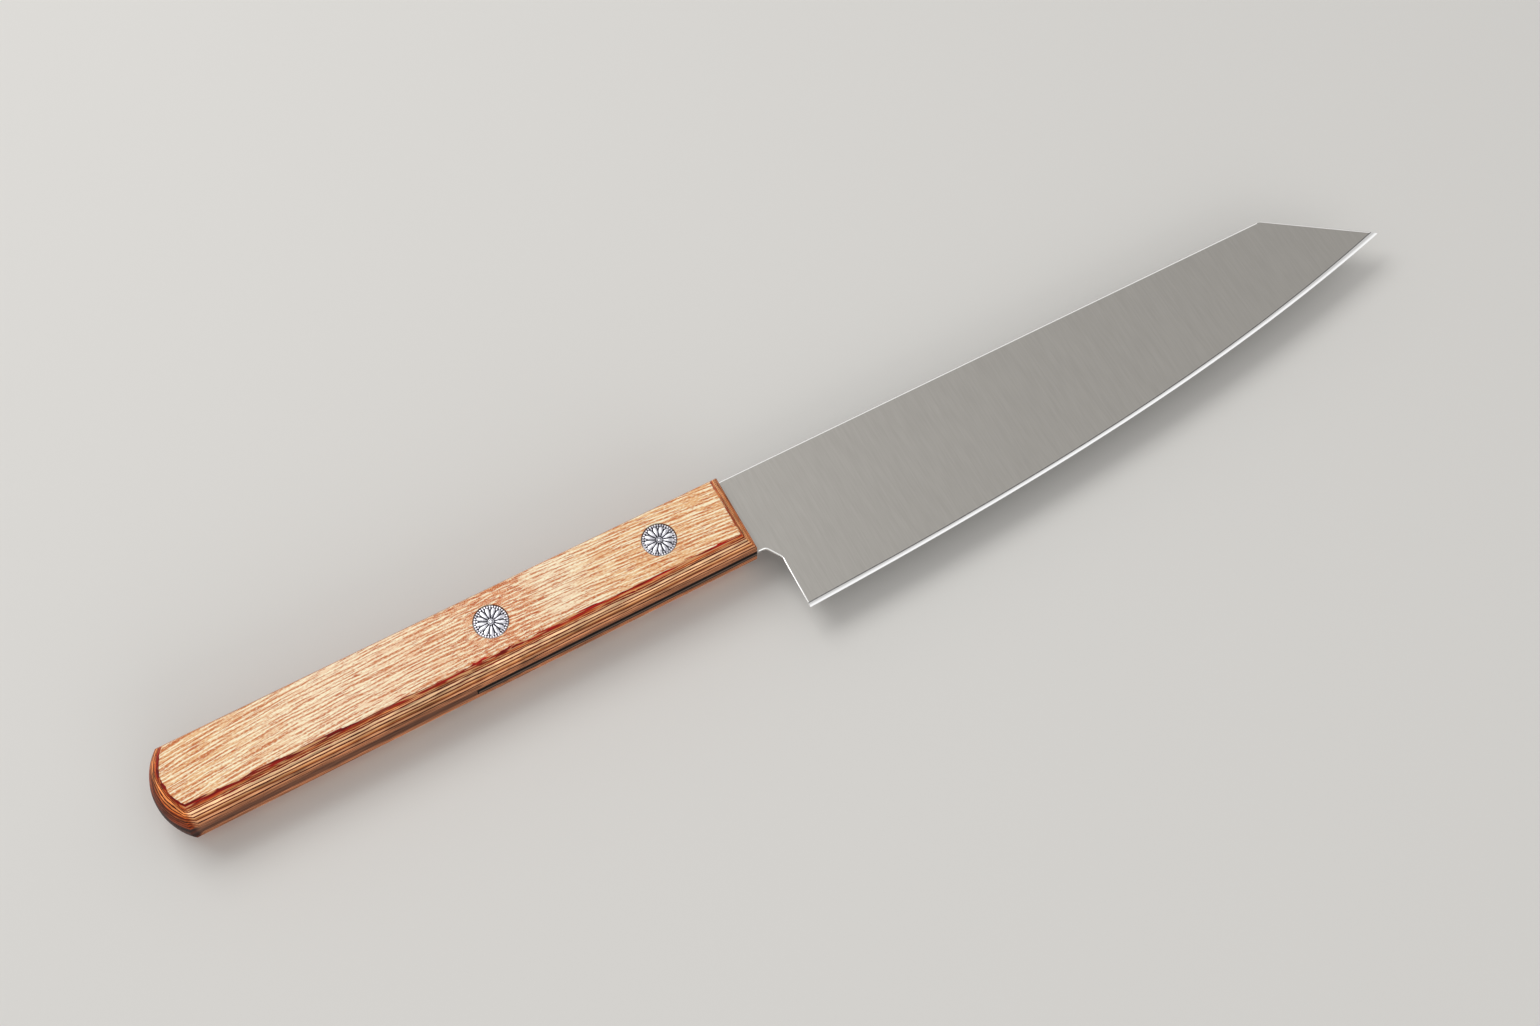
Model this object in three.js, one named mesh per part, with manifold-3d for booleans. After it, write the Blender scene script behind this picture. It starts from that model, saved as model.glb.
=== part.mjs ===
// A petty knife with an angled tip. The steel blade has a half tang, which is bedded in resin in a slot of
// the eight-sided laminated wood handle and held there by two rivets of two halves each.
// Millimetres. The knife lies on its side: +X runs to the tip, +Y to the spine and +Z up.
// While it is built, x is 0 at the handle's front, y is 0 on the line of the rivets and z is 0 underneath.

import * as THREE from 'three';
import { mergeVertices } from 'three/addons/utils/BufferGeometryUtils.js';
import Module from 'manifold-3d';

// Blade
const BLADE_LENGTH = 150; // heel to tip, along the knife
const HEEL_HEIGHT = 32.8; // spine to edge at the heel
const HEEL_REACH = 3.7; // handle's front to the heel's corner
const HEEL_LEAN = 1; // degrees that the back of the heel leans forward as it rises
const CHOIL_LENGTH = 2; // the slope between the neck and the back of the heel, along the knife
const CHOIL_HEIGHT = 3.2; // and down from the neck
const CHOIL_ROUNDING = 0.6; // how far its two corners are rounded back
const TIP_DROP = 14.6; // spine to tip
const TIP_SLANT = 34.5; // degrees between the spine and the angled tip
const TIP_CORNER_RADIUS = 2; // where the spine turns down into the angled tip
const EDGE_RISE_AT_HEEL = 2.1; // degrees that the edge rises as it leaves the heel
const EDGE_RISE_AT_TIP = 14.2; // degrees that it rises as it reaches the tip
const STOCK = 1.5; // thickness of the tang, and of the spine at the handle
const SPINE_AT_TIP = 1.1; // thickness of the spine where it turns down
const BEHIND_EDGE = 0.5; // thickness of the ground blade at the foot of the heel
const BEVEL_ANGLE = 13.5; // degrees of the edge bevel on each side
const EDGE_LAND = 0.08; // thickness left at the edge itself
const TANG_PAST_RIVET = 7.8; // length of tang behind the rear rivet

// Handle
const HANDLE_LENGTH = 125.1;
const HANDLE_THICKNESS = 15; // flat to flat
const SPINE_SIDE = 8.65; // rivet line to the spine side, which runs on flush with the blade's spine
const EDGE_SIDE_AT_FRONT = 8.85; // rivet line to the edge side
const EDGE_SIDE_AT_BUTT = 9.35;
const FLAT_AT_FRONT = 12.9; // width of the upper and lower flats
const FLAT_AT_BUTT = 12.7;
const CHAMFER_HEIGHT = 4.8; // how far each long chamfer reaches down from its flat
const FRONT_CHAMFER = 2.6; // length of the chamfers on the front edges, as high as the long ones
const BUTT_CROWN_ACROSS = 3.7; // how far the butt's middle stands behind its sides
const BUTT_CROWN_THROUGH = 3.5; // how far it stands behind its flats
const BOND = 0.25; // resin on each face of the tang and at its end

// Rivets
const FRONT_RIVET = 17.2; // handle's front to the front rivet
const RIVET_SPACING = 36.6;
const RIVET_HEAD = 6.9; // diameters
const RIVET_TUBE = 4.2;
const RIVET_SHANK = 2.6;
const RIVET_HEAD_THICKNESS = 1.8;
const RIVET_RECESS = 0.1; // heads below the flats
const RIVET_CLEARANCE = 0.15; // round heads, tubes and shanks
const RIVET_END_GAP = 0.4; // beyond the end of each tube and shank

// Fineness of the round shapes
const HANDLE_STATIONS = 8;
const CROWN_SIDES = 96;
const CROWN_STEPS = 10;
const EDGE_STEPS = 40;
const ARC_STEPS = 6;
const RIVET_SIDES = 40;

// Shared places
const CLEAR = 2; // how far a cutter reaches past what it cuts
const MIDDLE = HANDLE_THICKNESS / 2; // height of the blade's middle plane
const TIP_X = HEEL_REACH + BLADE_LENGTH;
const TIP_CORNER_X = TIP_X - TIP_DROP / Math.tan(radians(TIP_SLANT));
const BUTT_DEPTH = SPINE_SIDE + EDGE_SIDE_AT_BUTT;
const TANG_LENGTH = FRONT_RIVET + RIVET_SPACING + TANG_PAST_RIVET;
const SLOT_LENGTH = TANG_LENGTH + BOND;
const SLOT_WIDTH = STOCK + 2 * BOND;
const RIVETS = {
  front: -FRONT_RIVET,
  rear: -FRONT_RIVET - RIVET_SPACING,
};

const wasm = await Module();
wasm.setup();

function radians(degrees) {
  return THREE.MathUtils.degToRad(degrees);
}

// Where the handle's edge side stands at x, from its front at 0 to its butt. The tang ends flush with it.
function edgeSideAt(x) {
  return -THREE.MathUtils.lerp(EDGE_SIDE_AT_FRONT, EDGE_SIDE_AT_BUTT, -x / HANDLE_LENGTH);
}

// A closed three.js geometry as a solid that can be joined and cut.
function solidOf(geometry) {
  const bare = geometry.clone();
  bare.deleteAttribute('normal');
  bare.deleteAttribute('uv');
  const merged = mergeVertices(bare);
  return new wasm.Manifold(new wasm.Mesh({
    numProp: 3,
    vertProperties: new Float32Array(merged.attributes.position.array),
    triVerts: new Uint32Array(merged.index.array),
  }));
}

function geometryOf(solid) {
  const mesh = solid.getMesh();
  const geometry = new THREE.BufferGeometry();
  geometry.setAttribute('position', new THREE.BufferAttribute(mesh.vertProperties, 3));
  geometry.setIndex(new THREE.BufferAttribute(mesh.triVerts, 1));
  return geometry;
}

// A box from its lowest to its highest corner.
function boxBetween(low, high) {
  const size = high.map((value, axis) => value - low[axis]);
  const box = new THREE.BoxGeometry(...size);
  box.translate(...low.map((value, axis) => value + size[axis] / 2));
  return box;
}

// An outline seen from above, extruded to a plate of the given thickness about the blade's middle plane.
function plate(outline, thickness) {
  const geometry = new THREE.ExtrudeGeometry(outline, {
    depth: thickness,
    bevelEnabled: false,
    curveSegments: ARC_STEPS,
  });
  geometry.translate(0, 0, MIDDLE - thickness / 2);
  return geometry;
}

// An outline seen from the side, in x and z, extruded across the knife.
function acrossKnife(outline) {
  const width = 2 * BUTT_DEPTH;
  const geometry = new THREE.ExtrudeGeometry(outline, { depth: width, bevelEnabled: false });
  geometry.rotateX(Math.PI / 2);
  geometry.translate(0, width / 2, 0);
  return geometry;
}

// A profile of [radius, height] pairs turned about an upright axis.
function turned(profile, sides) {
  const points = profile.map(([radius, height]) => new THREE.Vector2(radius, height));
  const geometry = new THREE.LatheGeometry(points, sides);
  geometry.rotateX(Math.PI / 2);
  return geometry;
}

// A closed skin through rings of points, with flat ends. Seen along their order, the rings run anticlockwise.
function loft(rings) {
  const count = rings[0].length;
  const triangles = [];
  for (let ring = 0; ring + 1 < rings.length; ring++) {
    for (let i = 0; i < count; i++) {
      const next = (i + 1) % count;
      const [a, b] = [ring * count + i, ring * count + next];
      const [c, d] = [a + count, b + count];
      triangles.push(a, d, b, a, c, d);
    }
  }
  const last = (rings.length - 1) * count;
  for (let i = 1; i + 1 < count; i++) {
    triangles.push(0, i, i + 1, last, last + i + 1, last + i);
  }
  const geometry = new THREE.BufferGeometry().setFromPoints(rings.flat());
  geometry.setIndex(triangles);
  return geometry;
}

// An upright hole at each rivet, from the low height to the high one.
function rivetHoles(diameter, low, high) {
  const holes = Object.values(RIVETS).map((x) => {
    const hole = new THREE.CylinderGeometry(diameter / 2, diameter / 2, high - low, RIVET_SIDES);
    hole.rotateX(Math.PI / 2);
    hole.translate(x, 0, (low + high) / 2);
    return solidOf(hole);
  });
  return holes.reduce((all, hole) => all.add(hole));
}

const tubeHoles = rivetHoles(RIVET_TUBE + 2 * RIVET_CLEARANCE, -CLEAR, HANDLE_THICKNESS + CLEAR);

// The cutting edge, as a cubic that leaves the heel and reaches the tip at its two angles.
// The share is 0 at the heel and 1 at the tip, and may run a little past both.
function edgePoint(share) {
  const third = BLADE_LENGTH / 3;
  const depths = [
    HEEL_HEIGHT,
    HEEL_HEIGHT - third * Math.tan(radians(EDGE_RISE_AT_HEEL)),
    TIP_DROP + third * Math.tan(radians(EDGE_RISE_AT_TIP)),
    TIP_DROP,
  ];
  const rest = 1 - share;
  const weights = [rest ** 3, 3 * rest ** 2 * share, 3 * rest * share ** 2, share ** 3];
  const depth = depths.reduce((sum, value, i) => sum + value * weights[i], 0);
  return new THREE.Vector3(HEEL_REACH + share * BLADE_LENGTH, SPINE_SIDE - depth, MIDDLE);
}

// The same edge as a path for a cutter, carried past the heel and the tip.
class BevelPath extends THREE.Curve {
  getPoint(t) {
    const past = CLEAR / BLADE_LENGTH;
    return edgePoint(THREE.MathUtils.lerp(-past, 1 + past, t));
  }
}

// A line that goes on to a corner, which is rounded towards the point after it.
function roundedCorner(outline, corner, after) {
  const start = corner.clone().sub(outline.currentPoint).setLength(CHOIL_ROUNDING);
  const end = after.clone().sub(corner).setLength(CHOIL_ROUNDING).add(corner);
  outline.lineTo(corner.x - start.x, corner.y - start.y);
  outline.quadraticCurveTo(corner.x, corner.y, end.x, end.y);
}

// Blade and tang seen from above: along the neck, down the choil and the heel, along the edge and back.
function bladeOutline() {
  const neckY = edgeSideAt(0);
  const heel = edgePoint(0);
  const heelTopY = neckY - CHOIL_HEIGHT;
  const heelTop = new THREE.Vector2(heel.x + (heelTopY - heel.y) * Math.tan(radians(HEEL_LEAN)), heelTopY);
  const choilTop = new THREE.Vector2(heelTop.x - CHOIL_LENGTH, neckY);
  const cornerSetback = TIP_CORNER_RADIUS * Math.tan(radians(TIP_SLANT) / 2);
  const outline = new THREE.Shape();
  outline.moveTo(-TANG_LENGTH, edgeSideAt(-TANG_LENGTH));
  outline.lineTo(0, neckY);
  roundedCorner(outline, choilTop, heelTop);
  roundedCorner(outline, heelTop, new THREE.Vector2(heel.x, heel.y));
  for (let i = 0; i <= EDGE_STEPS; i++) {
    const point = edgePoint(i / EDGE_STEPS);
    outline.lineTo(point.x, point.y);
  }
  outline.absarc(
    TIP_CORNER_X - cornerSetback,
    SPINE_SIDE - TIP_CORNER_RADIUS,
    TIP_CORNER_RADIUS,
    Math.PI / 2 - radians(TIP_SLANT),
    Math.PI / 2,
    false,
  );
  outline.lineTo(-TANG_LENGTH, SPINE_SIDE);
  return outline;
}

// The waste that the flat grind takes off one side, in front of the handle: a box sheared so that its face
// thins the blade from the spine to the edge and from the handle to the tip. Side is 1 above and -1 below.
function grindWaste(side) {
  const thinningX = (SPINE_AT_TIP - STOCK) / 2 / TIP_CORNER_X;
  const thinningY = ((STOCK - BEHIND_EDGE) / 2 + thinningX * HEEL_REACH) / HEEL_HEIGHT;
  const waste = boxBetween(
    [0, SPINE_SIDE - HEEL_HEIGHT - CLEAR, side > 0 ? 0 : -STOCK],
    [TIP_X + CLEAR, SPINE_SIDE + CLEAR, side > 0 ? STOCK : 0],
  );
  const atSpine = STOCK / 2 - thinningY * SPINE_SIDE;
  waste.applyMatrix4(new THREE.Matrix4().set(
    1, 0, 0, 0,
    0, 1, 0, 0,
    side * thinningX, side * thinningY, 1, MIDDLE + side * atSpine,
    0, 0, 0, 1,
  ));
  return solidOf(waste);
}

// The waste of one edge bevel: a section swept along the edge. In the section, x points down from the
// blade's middle plane and y points from the edge to the spine.
function bevelWaste(side) {
  const slope = Math.tan(radians(BEVEL_ANGLE));
  const inner = STOCK / slope;
  const heightAt = (y) => EDGE_LAND / 2 + y * slope;
  const section = new THREE.Shape([
    new THREE.Vector2(-side * heightAt(-CLEAR), -CLEAR),
    new THREE.Vector2(-side * heightAt(inner), inner),
    new THREE.Vector2(-side * (heightAt(inner) + STOCK), inner),
    new THREE.Vector2(-side * (heightAt(inner) + STOCK), -CLEAR),
  ]);
  return solidOf(new THREE.ExtrudeGeometry(section, {
    steps: EDGE_STEPS,
    extrudePath: new BevelPath(),
    bevelEnabled: false,
  }));
}

function bladeGeometry() {
  let blade = solidOf(plate(bladeOutline(), STOCK));
  for (const side of [1, -1]) {
    blade = blade.subtract(grindWaste(side)).subtract(bevelWaste(side));
  }
  return geometryOf(blade.subtract(tubeHoles));
}

// The eight-sided bar, straight on its spine side and a little deeper on its edge side towards the butt.
function handleBar() {
  const rings = [];
  for (let station = 0; station <= HANDLE_STATIONS; station++) {
    const share = station / HANDLE_STATIONS;
    const x = -share * HANDLE_LENGTH;
    const edgeSide = edgeSideAt(x);
    const flat = THREE.MathUtils.lerp(FLAT_AT_FRONT, FLAT_AT_BUTT, share) / 2;
    const top = HANDLE_THICKNESS;
    const ring = [
      [flat, 0],
      [SPINE_SIDE, CHAMFER_HEIGHT],
      [SPINE_SIDE, top - CHAMFER_HEIGHT],
      [flat, top],
      [-flat, top],
      [edgeSide, top - CHAMFER_HEIGHT],
      [edgeSide, CHAMFER_HEIGHT],
      [-flat, 0],
    ];
    rings.push(ring.map(([y, z]) => new THREE.Vector3(x, y, z)));
  }
  return loft(rings);
}

// The bar's side view. The front edges of both flats are chamfered as deep as the long edges, so that these
// chamfers run out where the long ones meet the walls.
function handleSide() {
  const behind = -HANDLE_LENGTH - CLEAR;
  return new THREE.Shape([
    new THREE.Vector2(behind, 0),
    new THREE.Vector2(-FRONT_CHAMFER, 0),
    new THREE.Vector2(0, CHAMFER_HEIGHT),
    new THREE.Vector2(0, HANDLE_THICKNESS - CHAMFER_HEIGHT),
    new THREE.Vector2(-FRONT_CHAMFER, HANDLE_THICKNESS),
    new THREE.Vector2(behind, HANDLE_THICKNESS),
  ]);
}

// The butt is crowned both ways, as if turned about an upright axis ahead of it. This blank is the turned
// barrel, with all of the handle that lies ahead of its axis.
function crownBlank() {
  const radiusOf = (halfSpan, rise) => (halfSpan ** 2 + rise ** 2) / (2 * rise);
  const acrossRadius = radiusOf(BUTT_DEPTH / 2, BUTT_CROWN_ACROSS);
  const throughRadius = radiusOf(MIDDLE, BUTT_CROWN_THROUGH);
  const profile = [[0, 0]];
  for (let i = 0; i <= CROWN_STEPS; i++) {
    const height = (i / CROWN_STEPS) * HANDLE_THICKNESS;
    const drop = throughRadius - Math.sqrt(throughRadius ** 2 - (height - MIDDLE) ** 2);
    profile.push([acrossRadius - drop, height]);
  }
  profile.push([0, HANDLE_THICKNESS]);
  const axisX = acrossRadius - HANDLE_LENGTH;
  const barrel = turned(profile, CROWN_SIDES);
  barrel.translate(axisX, (SPINE_SIDE - EDGE_SIDE_AT_BUTT) / 2, 0);
  const ahead = boxBetween(
    [axisX, -BUTT_DEPTH, 0],
    [CLEAR, BUTT_DEPTH, HANDLE_THICKNESS],
  );
  return solidOf(barrel).add(solidOf(ahead));
}

function handleGeometry() {
  const slot = boxBetween(
    [-SLOT_LENGTH, -BUTT_DEPTH, MIDDLE - SLOT_WIDTH / 2],
    [CLEAR, BUTT_DEPTH, MIDDLE + SLOT_WIDTH / 2],
  );
  const seat = RIVET_RECESS + RIVET_HEAD_THICKNESS;
  const headHole = RIVET_HEAD + 2 * RIVET_CLEARANCE;
  const handle = solidOf(handleBar())
    .intersect(solidOf(acrossKnife(handleSide())))
    .intersect(crownBlank())
    .subtract(solidOf(slot))
    .subtract(tubeHoles)
    .subtract(rivetHoles(headHole, -CLEAR, seat))
    .subtract(rivetHoles(headHole, HANDLE_THICKNESS - seat, HANDLE_THICKNESS + CLEAR));
  return geometryOf(handle);
}

// The resin fills what the tang leaves of the slot, and is flush with the handle's walls.
function adhesiveGeometry() {
  const slotOutline = new THREE.Shape([
    new THREE.Vector2(-SLOT_LENGTH, edgeSideAt(-SLOT_LENGTH)),
    new THREE.Vector2(0, edgeSideAt(0)),
    new THREE.Vector2(0, SPINE_SIDE),
    new THREE.Vector2(-SLOT_LENGTH, SPINE_SIDE),
  ]);
  const tang = boxBetween(
    [-TANG_LENGTH, -BUTT_DEPTH, MIDDLE - STOCK / 2],
    [CLEAR, BUTT_DEPTH, MIDDLE + STOCK / 2],
  );
  const filling = solidOf(plate(slotOutline, SLOT_WIDTH));
  return geometryOf(filling.subtract(solidOf(tang)).subtract(tubeHoles));
}

// A rivet's two halves, about its middle. The socket's head is on top, with a tube below it, and the stud's
// shank rises from its own head into that tube.
const RIVET_TOP = MIDDLE - RIVET_RECESS;
const RIVET_SEAT = RIVET_TOP - RIVET_HEAD_THICKNESS;

function socketGeometry() {
  const bore = RIVET_SHANK / 2 + RIVET_CLEARANCE;
  const tubeEnd = RIVET_END_GAP - RIVET_SEAT;
  return turned([
    [0, RIVET_SEAT],
    [bore, RIVET_SEAT],
    [bore, tubeEnd],
    [RIVET_TUBE / 2, tubeEnd],
    [RIVET_TUBE / 2, RIVET_SEAT],
    [RIVET_HEAD / 2, RIVET_SEAT],
    [RIVET_HEAD / 2, RIVET_TOP],
    [0, RIVET_TOP],
  ], RIVET_SIDES);
}

function studGeometry() {
  return turned([
    [0, -RIVET_TOP],
    [RIVET_HEAD / 2, -RIVET_TOP],
    [RIVET_HEAD / 2, -RIVET_SEAT],
    [RIVET_SHANK / 2, -RIVET_SEAT],
    [RIVET_SHANK / 2, RIVET_SEAT - RIVET_END_GAP],
    [0, RIVET_SEAT - RIVET_END_GAP],
  ], RIVET_SIDES);
}

const steel = new THREE.MeshStandardMaterial({ color: '#a5a29b', metalness: 1, roughness: 0.4 });
const laminatedWood = new THREE.MeshStandardMaterial({ color: '#d9a87c', metalness: 0, roughness: 0.5 });
const darkResin = new THREE.MeshStandardMaterial({ color: '#26211d', metalness: 0, roughness: 0.5 });
const rivetMetal = new THREE.MeshStandardMaterial({ color: '#d8d8dc', metalness: 1, roughness: 0.25 });

function part(name, geometry, material) {
  const mesh = new THREE.Mesh(geometry, material);
  mesh.name = name;
  return mesh;
}

const knife = new THREE.Group();
knife.add(
  part('blade', bladeGeometry(), steel),
  part('handle', handleGeometry(), laminatedWood),
  part('tang_adhesive', adhesiveGeometry(), darkResin),
);
for (const [place, x] of Object.entries(RIVETS)) {
  const rivet = new THREE.Group();
  rivet.position.set(x, 0, MIDDLE);
  rivet.add(
    part(`${place}_rivet_socket`, socketGeometry(), rivetMetal),
    part(`${place}_rivet_stud`, studGeometry(), rivetMetal),
  );
  knife.add(rivet);
}

// The finished knife's origin is under the middle of its box.
const box = new THREE.Box3().setFromObject(knife);
const centre = box.getCenter(new THREE.Vector3());
knife.position.set(-centre.x, -centre.y, -box.min.z);

export default knife;
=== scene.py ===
"""A petty knife with an angled tip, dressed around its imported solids, lying on its side on a pale floor."""

import math

import bmesh
import bpy
from mathutils import Matrix, Vector


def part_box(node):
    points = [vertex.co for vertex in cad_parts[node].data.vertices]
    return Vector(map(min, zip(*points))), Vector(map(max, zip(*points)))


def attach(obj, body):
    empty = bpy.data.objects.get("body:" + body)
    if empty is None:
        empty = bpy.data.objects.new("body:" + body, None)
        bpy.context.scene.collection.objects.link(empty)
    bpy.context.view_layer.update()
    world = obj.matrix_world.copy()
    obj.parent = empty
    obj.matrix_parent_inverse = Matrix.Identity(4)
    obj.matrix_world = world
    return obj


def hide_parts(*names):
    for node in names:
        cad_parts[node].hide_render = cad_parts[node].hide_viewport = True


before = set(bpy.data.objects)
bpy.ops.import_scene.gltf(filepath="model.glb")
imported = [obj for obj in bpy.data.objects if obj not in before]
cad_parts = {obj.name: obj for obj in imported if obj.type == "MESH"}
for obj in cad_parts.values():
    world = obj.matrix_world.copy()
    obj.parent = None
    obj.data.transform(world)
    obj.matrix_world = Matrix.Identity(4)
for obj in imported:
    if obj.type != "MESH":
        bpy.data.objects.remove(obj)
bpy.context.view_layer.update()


# Camera. It stands where the photograph was taken from: over the handle, on the edge side, looking
# across the knife towards its spine. The picture is turned a little, as a hand-held one is.
MM = 0.001
CAMERA_PLACE = Vector((-96.95, -153.55, 396.4)) * MM
CAMERA_LENS = 49.68
SENSOR_WIDTH = 36.0
TURN_TO_KNIFE = math.radians(-29.27)
TILT_FROM_PLUMB = math.radians(25.12)
ROLL = math.radians(0.84)
NEAREST_SEEN = 10 * MM

scene = bpy.context.scene
camera_data = bpy.data.cameras.new("camera")
camera_data.lens = CAMERA_LENS
camera_data.sensor_width = SENSOR_WIDTH
camera_data.sensor_fit = "HORIZONTAL"
camera_data.clip_start = NEAREST_SEEN
camera = bpy.data.objects.new("camera", camera_data)
camera.matrix_world = (
    Matrix.Translation(CAMERA_PLACE)
    @ Matrix.Rotation(TURN_TO_KNIFE, 4, "Z")
    @ Matrix.Rotation(TILT_FROM_PLUMB, 4, "X")
    @ Matrix.Rotation(ROLL, 4, "Z")
)
scene.collection.objects.link(camera)
scene.camera = camera


# Blade. One piece of stainless steel, cut to its outline, ground flat on both sides and satin finished.
# The spine, heel and choil are rounded over and polished so that they don't hurt the hand, and the
# edge is bevelled last on a fine stone, which leaves it bright.
BLADE_LOW, BLADE_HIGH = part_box("blade")
HANDLE_LOW, HANDLE_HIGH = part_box("handle")
HANDLE_FRONT = HANDLE_HIGH.x
BLADE_MIDDLE = (BLADE_LOW.z + BLADE_HIGH.z) / 2
SPINE_ROUND = 0.42 * MM
HEEL_ROUND = 0.24 * MM
ROUND_STEPS = 3
ROUND_START = HANDLE_FRONT + 0.5 * MM
SHOULDER_WIDTH = 0.1 * MM
EDGE_HALF = 0.04  # mm, half the thickness of the edge itself
SHOULDER_HALF = 0.24  # mm, half the thickness of the blade at the bevel's shoulder
SIDE_LEAN = math.radians(4)  # the most that a ground side leans from level
BEVEL_LEAN = math.radians(30)  # and the most that the edge bevel does
FLAT_ANGLE = math.radians(0.1)
SHARP_ANGLE = math.radians(35)
WIDE_FACE = 100 * MM * MM
MERGE_DISTANCE = 0.001 * MM


def linear(hex_colour):
    """A written sRGB colour such as "#a5a29b", in the linear values that shaders take."""
    channels = [int(hex_colour[i:i + 2], 16) / 255 for i in (1, 3, 5)]
    return [c / 12.92 if c <= 0.04045 else ((c + 0.055) / 1.055) ** 2.4 for c in channels] + [1.0]


def add_node(tree, kind, settings=None, inputs=None):
    """Adds a node with its own settings. Each input is a value, or the socket that feeds it."""
    node = tree.nodes.new(kind)
    for name, value in (settings or {}).items():
        setattr(node, name, value)
    for key, value in (inputs or {}).items():
        if isinstance(value, bpy.types.NodeSocket):
            tree.links.new(value, node.inputs[key])
        else:
            node.inputs[key].default_value = value
    return node


def new_material(name):
    """An empty material with its Principled shader, and that shader's node tree."""
    material = bpy.data.materials.new(name)
    material.use_nodes = True
    tree = material.node_tree
    return material, tree, tree.nodes["Principled BSDF"]


def set_ramp(node, stops, interpolation="LINEAR"):
    """Gives a colour ramp its stops, each a position from 0 to 1 and a written colour."""
    ramp = node.color_ramp
    ramp.interpolation = interpolation
    for element, (position, colour) in zip(ramp.elements, (stops[0], stops[-1])):
        element.position = position
        element.color = linear(colour)
    for position, colour in stops[1:-1]:
        ramp.elements.new(position).color = linear(colour)


def copy_of_solid(node):
    """A merged copy of a solid's mesh, with its flat faces whole again."""
    mesh = bmesh.new()
    mesh.from_mesh(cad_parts[node].data)
    bmesh.ops.remove_doubles(mesh, verts=mesh.verts, dist=MERGE_DISTANCE)
    bmesh.ops.dissolve_limit(mesh, angle_limit=FLAT_ANGLE, verts=mesh.verts, edges=mesh.edges)
    return mesh


def finish_piece(name, mesh, materials, node):
    """Shows a mesh in place of a solid. Wide faces are truly flat, the small ones make up curves."""
    data = bpy.data.meshes.new(name)
    mesh.to_mesh(data)
    mesh.free()
    for material in materials:
        data.materials.append(material)
    data.set_sharp_from_angle(angle=SHARP_ANGLE)
    for polygon in data.polygons:
        polygon.use_smooth = polygon.area < WIDE_FACE
    piece = bpy.data.objects.new(name, data)
    scene.collection.objects.link(piece)
    weighted = piece.modifiers.new("weighted_normals", "WEIGHTED_NORMAL")
    weighted.keep_sharp = True
    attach(piece, "root")
    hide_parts(node)


def side_of(face):
    """Which surface of the blade a face is: its flat side, its edge bevel or its outline."""
    if abs(face.normal.z) > math.cos(SIDE_LEAN):
        return "side"
    if abs(face.normal.z) > math.cos(BEVEL_LEAN):
        return "bevel"
    return "outline"


def edges_between(mesh, first, second, start):
    """The edges beyond a place along the blade where two of its surfaces meet."""
    found = []
    for edge in mesh.edges:
        nearest, farthest = sorted(vertex.co.x for vertex in edge.verts)
        beyond = nearest > start - MERGE_DISTANCE and farthest > start + MERGE_DISTANCE
        kinds = {side_of(face) for face in edge.link_faces}
        if beyond and kinds == {first, second}:
            found.append(edge)
    return found


# The blade is cut at the handle's front, because the tang behind it keeps square edges and a finish of
# its own.
blade = copy_of_solid("blade")
bmesh.ops.bisect_plane(
    blade, geom=blade.verts[:] + blade.edges[:] + blade.faces[:], dist=MERGE_DISTANCE,
    plane_co=(HANDLE_FRONT, 0, 0), plane_no=(1, 0, 0),
)
blade.normal_update()
# The seams across the ground sides go, so that each side is one face and the rounding meets no stray edge.
ground_sides = [
    face for face in blade.faces
    if side_of(face) == "side" and face.calc_center_median().x > HANDLE_FRONT
]
seams = [edge for edge in blade.edges if all(face in ground_sides for face in edge.link_faces)]
bmesh.ops.dissolve_edges(blade, edges=seams)
blade.normal_update()
SATIN, POLISHED, HONED, SHOULDER_REFLECTION, TANG_SHADE = range(5)
# The tang's edges inside the handle take steel with painted shade and a painted dark reflection.
for face in blade.faces:
    in_handle = face.calc_center_median().x < HANDLE_FRONT
    finishes = {"side": SATIN, "bevel": HONED, "outline": TANG_SHADE if in_handle else POLISHED}
    face.material_index = finishes[side_of(face)]
# The rounding starts a little ahead of the handle, clear of the corner where the tang's square edges begin.
for edge in edges_between(blade, "side", "outline", HANDLE_FRONT):
    nearest = min(edge.verts, key=lambda vertex: vertex.co.x)
    if nearest.co.x < HANDLE_FRONT + MERGE_DISTANCE:
        bmesh.utils.edge_split(edge, nearest, (ROUND_START - HANDLE_FRONT) / edge.calc_length())
# The bevel's shoulder gets a narrow strip of steel with a painted dark reflection.
for surface, above, width, segments, finish in [
    ("bevel", BLADE_LOW.y, SHOULDER_WIDTH, 1, SHOULDER_REFLECTION),
    ("outline", BLADE_HIGH.y, SPINE_ROUND, ROUND_STEPS, POLISHED),
    ("outline", BLADE_LOW.y, HEEL_ROUND, ROUND_STEPS, POLISHED),
]:
    edges = [
        edge for edge in edges_between(blade, "side", surface, ROUND_START)
        if min(vertex.co.y for vertex in edge.verts) > above - MERGE_DISTANCE
    ]
    made = bmesh.ops.bevel(
        blade, geom=edges, offset=width, offset_type="OFFSET", affect="EDGES",
        segments=segments, profile=0.5, material=-1, clamp_overlap=False,
    )
    for face in made["faces"]:
        face.material_index = finish
    blade.normal_update()
bmesh.ops.remove_doubles(blade, verts=blade.verts, dist=MERGE_DISTANCE)

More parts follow.
